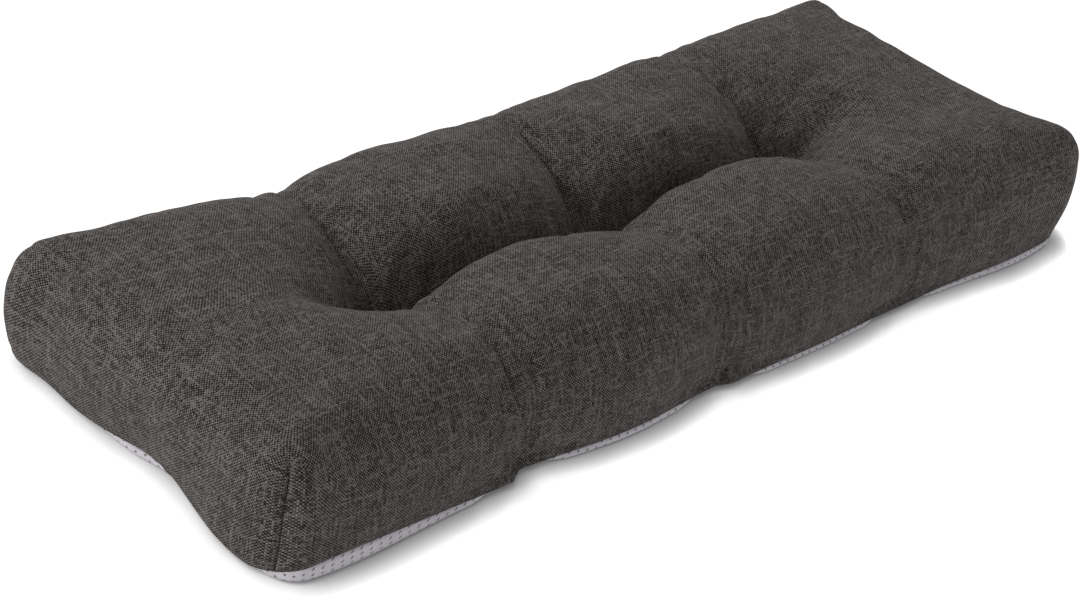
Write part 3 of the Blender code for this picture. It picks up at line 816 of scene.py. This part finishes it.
def fold_depth(cover):
    """Depth of the sharp folds across the back pillows, each with the left pillow lapping over."""
    x, y, z = cover.points.T
    x = straightened(x, y)
    depth = np.zeros(cover.count)
    for line, (deepest, *fade_zone) in zip(TUFT_X, FOLD_LINES):
        away = np.abs(x - line) / np.where(x < line, FOLD_LAP_WIDTH, FOLD_SLOPE_WIDTH)
        here = smoothstep(*FOLD_START_ZONE, y) * (1.0 - smoothstep(*fade_zone, y)) * (z > FOLD_FLOOR)
        depth += deepest * np.exp(-away) * here
    return depth


def corner_seam_depth(cover):
    """How far the sewn corners pull the cloth in, at each point."""
    depth = np.zeros(cover.count)
    for name in ("front", "back"):
        for column in cover.index[name][[0, -1]]:
            down = smoothstep(0.0, CORNER_SEAM_START_STEPS, np.arange(len(column)))
            depth[column] = CORNER_SEAM_DEPTH * down
    return depth


def finish_cover(cover):
    """The cover with its wrinkles, folds and sunk seams; the lower edge stays where it is."""
    height = wrinkles(cover) - corner_seam_depth(cover) - fold_depth(cover)
    height[cover.seam_ring()] = 0.0
    moved = cover.points + point_normals(cover.points, cover.quads()) * height[:, None]
    return Cover({name: moved[cover.index[name]] for name in PATCHES})


# ---- Underside: the base panel, and the same surface moved in for the filling ----
BASE_THICKNESS = 0.0016
RIM_INSET_DRAWN = 0.018
RIM_INSET_FULL = 0.0045
RIM_BELLY = 0.002
RIM_STEPS = 6
DIMPLE_HEIGHT = 0.009
DIMPLE_RADIUS = 0.040
GAP = 0.0003

# Where the base panel reaches out to the seam: between the tuft lines, but not at the back
# corners, and on an end near its middle and its front corner (place and width of each reach).
PANEL_SIDE_ZONE = (0.60, 0.98)
PANEL_BACK_CORNER = (0.40, HALF_L)
PANEL_END_REACHES = ((0.05, 0.30), (-1.0, 0.12))
ON_LONG_SIDE = 0.999


def patch_from_rim(rim, along, across):
    """Fill a grid from its border points, straight across from side to side."""
    share_x = ((along + 1.0) / 2.0)[:, None, None]
    share_y = ((across + 1.0) / 2.0)[None, :, None]
    ends = rim[:1] + (rim[-1:] - rim[:1]) * share_x
    sides = rim[:, :1] + (rim[:, -1:] - rim[:, :1]) * share_y
    first = rim[:1, :1] + (rim[-1:, :1] - rim[:1, :1]) * share_x
    last = rim[:1, -1:] + (rim[-1:, -1:] - rim[:1, -1:]) * share_x
    return ends + sides - first - (last - first) * share_y


def ring_of(grid):
    """Border of a grid, once round, anticlockwise from its first corner."""
    return np.concatenate([grid[:-1, 0], grid[-1, :-1], grid[:0:-1, -1], grid[0, :0:-1]])


def panel_fullness(along, across):
    """How far the base panel reaches out to the seam at a place on its rim: 0 drawn in, 1 full."""
    x = HALF_L * along
    full_side = 1.0 - smoothstep(*PANEL_SIDE_ZONE, nearness(x, TUFT_X, NOTCH_EDGE))
    at_back_corner = smoothstep(*PANEL_BACK_CORNER, np.abs(x)) * (across > 0.0)
    full_end = sum(bell(across - middle, width) for middle, width in PANEL_END_REACHES)
    on_side = np.abs(across) > ON_LONG_SIDE
    return np.where(on_side, full_side * (1.0 - at_back_corner), np.clip(full_end, 0.0, 1.0))


class Underside:
    """Rim rings from the seam to the flat part, and the flat part with its tuft dimples."""

    def __init__(self, cover):
        along, across = length_stations()[::2], width_stations()[::2]
        outward = np.zeros((len(along), len(across), 3))
        outward[..., 0], outward[..., 1] = along[:, None], across[None, :]
        seam = np.zeros_like(outward)
        for name, border in (("front", np.s_[:, 0]), ("back", np.s_[:, -1]), ("left", 0), ("right", -1)):
            seam[border] = cover.points[cover.index[name][::2, -1]]
        fullness = panel_fullness(outward[..., 0], outward[..., 1])[..., None]
        self.outward = ring_of(outward)
        self.rings = []
        for turn in np.linspace(0.0, QUARTER_TURN, RIM_STEPS + 1):
            full = RIM_BELLY * np.sin(2.0 * turn) - RIM_INSET_FULL * (1.0 - np.cos(turn))
            drawn = -RIM_INSET_DRAWN * np.sin(turn)
            rim = seam + outward * (drawn + (full - drawn) * fullness)
            rim[..., 2] = (seam[..., 2] - GAP) * (1.0 - np.sin(turn))
            self.rings.append(ring_of(rim))
        self.flat = patch_from_rim(rim, along, across)
        radius = tuft_distance(self.flat[..., 0], self.flat[..., 1])
        self.flat[..., 2] = DIMPLE_HEIGHT * (1.0 - smoothstep(0.0, DIMPLE_RADIUS, radius))

    def surface(self, distance, lift=0.0):
        """Points and faces, facing down, of the underside moved in; the rim is the first ring."""
        rings = np.array(self.rings[:-1])
        ring_index = np.arange(rings[..., 0].size).reshape(rings.shape[:2])
        flat_index = ring_index.size + np.arange(self.flat[..., 0].size).reshape(self.flat.shape[:2])
        ring_index = np.vstack([ring_index, ring_of(flat_index)])
        ring_index = np.hstack([ring_index, ring_index[:, :1]])
        points = np.vstack([rings.reshape(-1, 3), self.flat.reshape(-1, 3)])
        faces = np.concatenate([cell_faces(ring_index), cell_faces(flat_index.T)])
        rim = slice(0, len(self.outward))
        inward = -point_normals(points, faces)
        inward[rim] = -self.outward
        inward[flat_index] = (0.0, 0.0, 1.0)
        moved = points + distance * inward
        moved[rim, 2] += lift
        return moved, faces

    def flat_coordinates(self):
        """Flat-cloth coordinates of the points of surface()."""
        spots = [np.array(self.rings[-1])[:, :2]]
        for outer, inner in zip(self.rings[-2::-1], self.rings[:0:-1]):
            step = np.linalg.norm(outer - inner, axis=-1, keepdims=True)
            spots.append(spots[-1] + step * self.outward[:, :2])
        return np.vstack(spots[:0:-1] + [self.flat[..., :2].reshape(-1, 2)])


# ---- Mesh objects ----
def make_piece(name, points, faces, material, spots=None):
    """A smooth mesh object; spots are the weave coordinates of each face corner."""
    mesh = bpy.data.meshes.new(name)
    mesh.from_pydata(np.asarray(points).tolist(), [], [list(face) for face in faces])
    if spots is not None:
        mesh.uv_layers.new(name="weave").data.foreach_set("uv", np.float32(spots).ravel())
    mesh.shade_smooth()
    mesh.materials.append(material)
    piece = bpy.data.objects.new(name, mesh)
    bpy.context.scene.collection.objects.link(piece)
    return piece


def stitch_rings(outer, inner):
    """Faces between a closed ring and one of half as many points."""
    faces = []
    for number in range(len(inner)):
        a, b, c = outer[2 * number], outer[2 * number + 1], outer[(2 * number + 2) % len(outer)]
        p, q = inner[number], inner[(number + 1) % len(inner)]
        faces += [(a, p, b), (b, p, q), (b, q, c)]
    return faces


def build_cover(cover, underside, material):
    """The filled cover as one closed mesh, with its weave coordinates."""
    under_points, under_faces = underside.surface(BASE_THICKNESS + GAP, GAP)
    first = cover.count
    strip = stitch_rings(cover.seam_ring(), first + np.arange(len(underside.outward)))
    points = np.vstack([cover.points, under_points])
    below = [*(under_faces + first), *strip]
    spots = np.vstack([cover.weave_coordinates().reshape(-1, 2), points[np.concatenate(below), :2]])
    return make_piece("cushion_cover", points, [*cover.quads(), *below], material, spots)


def build_base(underside, material):
    """The base panel as a thin closed sheet."""
    outer, faces = underside.surface(0.0)
    inner, _ = underside.surface(BASE_THICKNESS)
    first = len(outer)
    edge = np.arange(len(underside.outward))
    after = np.roll(edge, -1)
    rim = np.stack([edge, after, after + first, edge + first], -1)
    faces = np.vstack([faces, faces[:, ::-1] + first, rim])
    spots = np.tile(underside.flat_coordinates(), (2, 1))
    return make_piece("base_sheet", np.vstack([outer, inner]), faces, material, spots[faces])


def tube(path, radius, sides=8):
    """Points and faces of a closed round thread along a path, with rounded ends."""
    path = np.asarray(path, dtype=float)
    ahead = np.gradient(path, axis=0)
    ahead /= np.linalg.norm(ahead, axis=-1, keepdims=True)
    helper = np.where(np.abs(ahead[:, 2:]) > 0.9, [[1.0, 0.0, 0.0]], [[0.0, 0.0, 1.0]])
    side = np.cross(ahead, helper)
    side /= np.linalg.norm(side, axis=-1, keepdims=True)
    up = np.cross(side, ahead)
    turn = (np.arange(sides) * 2.0 * np.pi / sides)[None, :, None]
    share = np.linspace(-1.0, 1.0, len(path))
    taper = np.sqrt(np.clip(1.0 - share ** 8, 0.02, 1.0))[:, None, None]
    ring = side[:, None] * np.cos(turn) + up[:, None] * np.sin(turn)
    points = (path[:, None] + radius * taper * ring).reshape(-1, 3)
    index = np.arange(len(points)).reshape(len(path), sides)
    closed = np.hstack([index, index[:, :1]])
    return points, [*cell_faces(closed.T), index[0, ::-1], index[-1]]


def join_tubes(name, paths, radius, material):
    points, faces, first = [], [], 0
    for path in paths:
        more, cells = tube(path, radius)
        points.append(more)
        faces += [first + cell for cell in cells]
        first += len(more)
    return make_piece(name, np.vstack(points), faces, material)


# ---- Materials ----
class Value:
    """Output of a material node; a sum, product and so on of it is a Math node."""

    def __init__(self, graph, socket):
        self.graph, self.socket = graph, socket

    def __add__(self, other):
        return self.graph.math("ADD", self, other)

    def __sub__(self, other):
        return self.graph.math("SUBTRACT", self, other)

    def __mul__(self, other):
        return self.graph.math("MULTIPLY", self, other)

    def __truediv__(self, other):
        return self.graph.math("DIVIDE", self, other)


class Graph:
    """Small helper for building a node material."""

    def __init__(self, name):
        self.material = bpy.data.materials.new(name)
        self.material.use_nodes = True
        self.tree = self.material.node_tree

    def fill(self, sockets, inputs):
        """Link or set inputs, given by name or number."""
        for key, value in inputs.items():
            if isinstance(value, Value):
                self.tree.links.new(value.socket, sockets[key])
            else:
                sockets[key].default_value = value

    def node(self, kind, inputs, output=0, **settings):
        """A new node; gives the value of one of its outputs."""
        made = self.tree.nodes.new(kind)
        for key, value in settings.items():
            setattr(made, key, value)
        self.fill(made.inputs, inputs)
        return Value(self, made.outputs[output])

    def shade(self, inputs):
        """Set the shader's inputs; gives the finished material."""
        self.fill(self.tree.nodes["Principled BSDF"].inputs, inputs)
        return self.material

    def math(self, operation, *values):
        return self.node("ShaderNodeMath", dict(enumerate(values)), operation=operation)

    def spread(self, value, low, high, to_low=0.0, to_high=1.0):
        inputs = dict(enumerate((value, low, high, to_low, to_high)))
        return self.node("ShaderNodeMapRange", inputs, interpolation_type="SMOOTHSTEP")

    def blend(self, share, first, second):
        return self.node("ShaderNodeMix", {0: share, 6: first, 7: second}, 2, data_type="RGBA")

    def place(self, *values):
        return self.node("ShaderNodeCombineXYZ", dict(enumerate(values)))

    def noise(self, x, y, scale=1.0, detail=0.0, roughness=0.5):
        inputs = {"Vector": self.place(x, y), "Scale": scale, "Detail": detail, "Roughness": roughness}
        return self.node("ShaderNodeTexNoise", inputs, "Fac", noise_dimensions="2D")

    def white(self, x, y):
        inputs = {"Vector": self.place(x, y)}
        return self.node("ShaderNodeTexWhiteNoise", inputs, "Value", noise_dimensions="2D")

    def coordinates(self):
        """The two weave coordinates, in metres."""
        spot = self.node("ShaderNodeUVMap", {}, uv_map="weave")
        return [self.node("ShaderNodeSeparateXYZ", {0: spot}, axis) for axis in (0, 1)]

    def bump(self, height, distance, strength=1.0, normal=None):
        inputs = {"Strength": strength, "Distance": distance, "Height": height}
        if normal is not None:
            inputs["Normal"] = normal
        return self.node("ShaderNodeBump", inputs)


# Linen look. Tones run from dark to light; warp yarns are lighter than weft yarns. A range of the
# noise is spread over a pair of tones, and thin stretches of a yarn are darker.
YARN_PITCH = 0.00126
CLOTH_DARK = (0.0075, 0.0062, 0.0064, 1.0)
CLOTH_LIGHT = (0.205, 0.186, 0.176, 1.0)
YARN_SEED_STEP = 7.313
WARP_SEED = 3.7
WEFT_SEED = 51.3
FIBRE_PACE = 0.27
FIBRE_RANGE = (0.34, 0.68)
FIBRE_TONES = (0.12, 0.43)
SLUB_PACE = 0.060
SLUB_START = 31.0
SLUB_RANGE = (0.63, 0.70)
THIN_RANGE = (0.40, 0.27)
THIN_TONES = (0.0, 0.20)
WARP_TONE = 0.42
WEFT_TONE = -0.22
SLUB_TONE = 0.30
SPECK_TONE = 0.60
CLOUD_TONE = 0.05
PATCH_TONE = 0.10
CLOUD_SCALE = 34.0
PATCH_SCALE = 170.0
# Painted shade between the yarns: the tone is scaled by each yarn's round profile, so it is darkest in the
# grooves.
GROOVE_PAINTED_SHADE = 0.33
YARN_PAINTED_SHADE = 0.95


def yarns(graph, across, along, seed):
    """One set of parallel yarns: its number, profile across, heathered tone, and share of slub."""
    number = graph.math("FLOOR", across)
    profile = graph.math("COSINE", (graph.math("FRACT", across) - 0.5) * np.pi)
    row = number * YARN_SEED_STEP + seed
    fibre = graph.noise(row, along * FIBRE_PACE, detail=1.0, roughness=0.6)
    slub = graph.noise(row, along * SLUB_PACE + (SLUB_START + seed))
    tone = graph.spread(fibre, *FIBRE_RANGE, *FIBRE_TONES) - graph.spread(slub, *THIN_RANGE, *THIN_TONES)
    return number, profile, tone, graph.spread(slub, *SLUB_RANGE)


def linen_material():
    """Heathered charcoal linen look: plain weave of slubby two-tone yarns."""
    graph = Graph("heathered_linen")
    u, v = graph.coordinates()
    a, b = u / YARN_PITCH, v / YARN_PITCH
    warp_number, warp_profile, warp_tone, warp_slub = yarns(graph, a, b, WARP_SEED)
    weft_number, weft_profile, weft_tone, weft_slub = yarns(graph, b, a, WEFT_SEED)
    parity = graph.math("FLOORED_MODULO", warp_number + weft_number, 2.0)
    over = graph.math("SUBTRACT", 1.0, parity)
    hump = warp_profile * weft_profile
    speck = graph.white(warp_number, weft_number)
    cloud = graph.noise(u, v, CLOUD_SCALE, 2.0)
    patch = graph.noise(u, v, PATCH_SCALE, 1.0)

    tone = (warp_tone + WARP_TONE) * over + (weft_tone + WEFT_TONE) * parity
    tone = tone + graph.math("MAXIMUM", warp_slub, weft_slub) * SLUB_TONE
    for field, strength in ((speck, SPECK_TONE), (cloud, CLOUD_TONE), (patch, PATCH_TONE)):
        tone = tone + (field - 0.5) * strength
    # Painted shade: the tone is darkened in the grooves between the yarns and lifted on the yarn tops.
    tone = graph.math("MAXIMUM", tone, 0.0) * (hump * YARN_PAINTED_SHADE + GROOVE_PAINTED_SHADE)
    pebbles = graph.bump(cloud, 0.0012, 0.10)
    return graph.shade({
        "Base Color": graph.blend(tone, CLOTH_DARK, CLOTH_LIGHT),
        "Roughness": 0.92,
        "Specular IOR Level": 0.12,
        "Sheen Weight": 0.05,
        "Sheen Roughness": 0.45,
        "Sheen Tint": (0.80, 0.77, 0.75, 1.0),
        "Normal": graph.bump(hump, 0.00026, 1.0, pebbles),
    })


# Knit of the base panel: pitches, and the radius of a dot and of its soft edge, in pitches.
DOT_PITCH = 0.0088
DOT_RADIUS = 0.115
DOT_EDGE = 0.03
KNIT_PITCHES = (0.0012, 0.0009)
KNIT_PALE = ((0.55, 0.525, 0.57, 1.0), (0.64, 0.615, 0.66, 1.0))
KNIT_DARK = (0.38, 0.365, 0.40, 1.0)
DOT_COLOR = (0.20, 0.19, 0.21, 1.0)


def grip_material():
    """Pale lavender grey knit with staggered rows of small raised grip dots."""
    graph = Graph("grip_dotted_knit")
    spots = graph.coordinates()

    def dots(shift):
        x, y = (graph.math("FRACT", each / DOT_PITCH + shift) - 0.5 for each in spots)
        far = graph.math("SQRT", x * x + y * y)
        return graph.spread(far, DOT_RADIUS + DOT_EDGE, DOT_RADIUS - DOT_EDGE)

    dot = graph.math("MAXIMUM", dots(0.0), dots(0.5))
    ribs = [graph.math("SINE", each * (2.0 * np.pi / pitch)) for each, pitch in zip(spots, KNIT_PITCHES)]
    knit = ribs[0] * ribs[1]
    pale = graph.blend(graph.noise(*spots, 60.0, 3.0), *KNIT_PALE)
    pale = graph.blend(graph.spread(knit, -0.2, -1.0, 0.0, 0.35), pale, KNIT_DARK)
    return graph.shade({
        "Base Color": graph.blend(dot, pale, DOT_COLOR),
        "Roughness": graph.spread(dot, 0.0, 1.0, 0.86, 0.45),
        "Specular IOR Level": 0.3,
        "Normal": graph.bump(dot, 0.0004, 1.0, graph.bump(knit, 0.00012)),
    })


def thread_material():
    """Dark twisted sewing thread."""
    graph = Graph("charcoal_thread")
    spot = graph.node("ShaderNodeTexCoord", {}, "Object")
    inputs = {"Vector": spot, "Scale": 700.0, "Distortion": 1.5}
    twist = graph.node("ShaderNodeTexWave", inputs, "Fac", bands_direction="DIAGONAL")
    return graph.shade({
        "Base Color": graph.blend(twist, (0.012, 0.011, 0.011, 1.0), (0.045, 0.041, 0.040, 1.0)),
        "Roughness": 0.7,
        "Normal": graph.bump(twist, 0.0001),
    })


# ---- Sewing ----
# Stitches across the corner seams: which points of the seam they cross, and their slant and arch
# in shares of the distance between the points.
STITCH_RADIUS = 0.00028
STITCH_FIRST = 3
STITCH_SPACING = 2
STITCH_SLANT = 0.2
STITCH_ARCH = 0.1

# Passes of thread over each tuft: each lies a layer higher, and is shorter and further along.
THREAD_RADIUS = 0.0007
THREAD_ANGLES = (0.5, 0.9, 2.2)
THREAD_REACH = 0.006
THREAD_SHORTENING = 0.001
THREAD_SHIFT = 0.0012
THREAD_RISE = 0.0022
THREAD_LAYER = 0.0006
THREAD_DROP = 0.0030
THREAD_STEPS = 9


def corner_stitches(cover, material):
    """Short ladder stitches that close each corner seam."""
    paths = []
    next_row = {0: 1, -1: -2}
    for side, side_row in (("front", 0), ("back", -1)):
        for end, end_row in (("left", 0), ("right", -1)):
            seam, beside_long, beside_end = (
                cover.points[cover.index[name][row]]
                for name, row in ((side, end_row), (side, next_row[end_row]), (end, next_row[side_row]))
            )
            for step in range(STITCH_FIRST, len(seam) - 1, STITCH_SPACING):
                a, b, c = beside_long[step], seam[step], beside_end[step]
                slant = STITCH_SLANT * (seam[step - 1] - seam[step])
                paths.append([a - slant, b + STITCH_ARCH * (a + c - 2 * b), c + slant])
    return join_tubes("corner_stitches", paths, STITCH_RADIUS, material)


def tuft_threads(cover, material):
    """Three crossed passes of heavy thread that hold each tuft down."""
    paths = []
    top = cover.points[cover.index["top"]]
    step = np.linspace(-1.0, 1.0, THREAD_STEPS)
    for line in TUFT_X:
        far = np.hypot(top[..., 0] - line, top[..., 1])
        z = top[..., 2][np.unravel_index(far.argmin(), far.shape)]
        for number, angle in enumerate(THREAD_ANGLES):
            reach = THREAD_REACH - THREAD_SHORTENING * number
            shift = THREAD_SHIFT * (number - 1)
            x = line + shift + reach * step * np.cos(angle)
            y = -shift + reach * step * np.sin(angle)
            rise = z + THREAD_RISE + THREAD_LAYER * number - THREAD_DROP * step ** 2
            paths.append(np.stack([x, y, rise], -1))
    return join_tubes("tuft_threads", paths, THREAD_RADIUS, material)


# ---- Camera, floor and light ----
# Angles in radians, lens in millimetres for a frame 36 mm wide; fitted to the photo's corners.
CAMERA = {
    "azimuth": -0.87080, "elevation": 0.55401, "roll": 0.19149, "lens": 86.895,
    "place": (-1.39286, -1.13263, 1.09651),
}
WORLD_STRENGTH = 0.50
LIGHT_SIZE = 1.3
LIGHT_AIM = (0.0, 0.0, 0.03)
LIGHTS = {
    "left_window": {"place": (-2.2, 0.7, 1.3), "energy": 30.0, "color": (1.0, 0.985, 0.965)},
    "back_window": {"place": (-0.6, 2.2, 1.5), "energy": 25.0, "color": (1.0, 0.99, 0.975)},
    "right_card": {"place": (2.2, 0.3, 1.4), "energy": 15.0, "color": (1.0, 1.0, 1.0)},
}
FLOOR_SIZE = 9.0
FLOOR_DROP = 0.0002
FLOOR_GLOW = 0.92
# Painted contact shadow on the floor: its glow is cut by ambient occlusion within this reach, raised to
# this power, about this leaning normal.
PAINTED_SHADOW_REACH = 0.020
PAINTED_SHADOW_POWER = 2.3
PAINTED_SHADOW_LEAN = (-0.75, 0.30, 0.59)
WHITE = (1.0, 1.0, 1.0, 1.0)


def add_camera():
    azimuth, elevation, roll = CAMERA["azimuth"], CAMERA["elevation"], CAMERA["roll"]
    level = Vector((np.cos(azimuth), np.sin(azimuth), 0.0))
    away = Vector((np.sin(azimuth), -np.cos(azimuth), 0.0))
    back = away * np.cos(elevation) + Vector((0.0, 0.0, np.sin(elevation)))
    upright = back.cross(level)
    right = level * np.cos(roll) + upright * np.sin(roll)
    up = upright * np.cos(roll) - level * np.sin(roll)
    data = bpy.data.cameras.new("camera")
    data.lens = CAMERA["lens"]
    data.sensor_width = 36.0
    data.clip_end = 60.0
    camera = bpy.data.objects.new("camera", data)
    bpy.context.scene.collection.objects.link(camera)
    turned = Matrix((right, up, back)).transposed().to_quaternion()
    camera.matrix_world = Matrix.LocRotScale(Vector(CAMERA["place"]), turned, None)
    bpy.context.scene.camera = camera


def add_light(name, place, energy, color):
    data = bpy.data.lights.new(name, "AREA")
    data.shape = "DISK"
    data.size = LIGHT_SIZE
    data.energy = energy
    data.color = color
    light = bpy.data.objects.new(name, data)
    bpy.context.scene.collection.objects.link(light)
    light.location = place
    light.rotation_euler = (Vector(LIGHT_AIM) - Vector(place)).to_track_quat("-Z", "Y").to_euler()


def floor_material():
    """White paper that glows a little; near the cushion its glow is cut by ambient occlusion, a painted
    short shadow.
    """
    graph = Graph("studio_floor")
    inputs = {"Distance": PAINTED_SHADOW_REACH, "Normal": graph.place(*PAINTED_SHADOW_LEAN)}
    near = graph.node("ShaderNodeAmbientOcclusion", inputs, "AO", samples=16)
    return graph.shade({
        "Base Color": (0.25, 0.25, 0.25, 1.0),
        "Roughness": 0.9,
        "Specular IOR Level": 0.0,
        "Emission Color": WHITE,
        "Emission Strength": graph.math("POWER", near, PAINTED_SHADOW_POWER) * FLOOR_GLOW,
    })


def add_studio():
    corners = [(FLOOR_SIZE * x, FLOOR_SIZE * y, 0.0) for x, y in ((-1, -1), (1, -1), (1, 1), (-1, 1))]
    floor = make_piece("studio_floor", corners, [(0, 1, 2, 3)], floor_material())
    floor.location.z = -FLOOR_DROP
    world = bpy.data.worlds.new("studio")
    bpy.context.scene.world = world
    world.use_nodes = True
    background = world.node_tree.nodes["Background"].inputs
    background["Color"].default_value = WHITE
    background["Strength"].default_value = WORLD_STRENGTH
    for name, light in LIGHTS.items():
        add_light(name, **light)
    bpy.context.scene.view_settings.view_transform = "Standard"


def build():
    linen, grip, thread = linen_material(), grip_material(), thread_material()
    cover = plain_cover()
    cover = add_simulation(cover)
    cover = finish_cover(cover)
    underside = Underside(cover)
    body = build_cover(cover, underside, linen)
    base = build_base(underside, grip)
    stitches = corner_stitches(cover, thread)
    ties = tuft_threads(cover, thread)
    for piece in (body, base, stitches, ties):
        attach(piece, "root")
    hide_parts("cushion_body")
    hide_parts("base_panel")


build()
add_studio()
add_camera()
